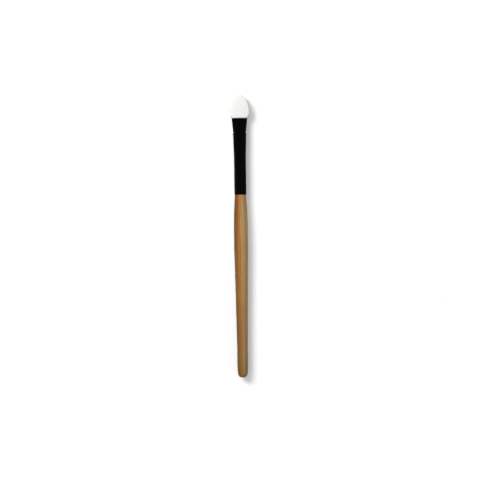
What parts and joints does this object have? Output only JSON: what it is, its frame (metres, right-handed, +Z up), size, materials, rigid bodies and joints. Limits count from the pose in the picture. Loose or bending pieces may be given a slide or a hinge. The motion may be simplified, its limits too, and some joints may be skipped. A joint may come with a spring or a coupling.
{
  "type": "smudge brush",
  "caption": "Slim make-up smudge brush: turned bamboo handle, black ferrule pressed flat at its mouth, and a white foam sponge tip.",
  "frame": {"origin": "bottom centre of the bounding box: the surface that the handle's belly lies on, halfway along the brush", "axes": "+Y along the brush from its butt to its tip, +Z up, square to the pressed faces of the ferrule and the tip"},
  "size_m": [0.012, 0.165, 0.0082],
  "materials": {
    "bamboo": "satin",
    "black_ferrule": "satin",
    "white_foam": "matte",
    "core_plastic": "satin",
    "set_glue": "gloss"
  },
  "bodies": {
    "root": {"bamboo_handle": "bamboo", "tenon_glue_ring": "set_glue", "ferrule": "black_ferrule", "applicator_core": "core_plastic", "head_glue_plug": "set_glue", "foam_tip": "white_foam"}
  },
  "joints": []
}
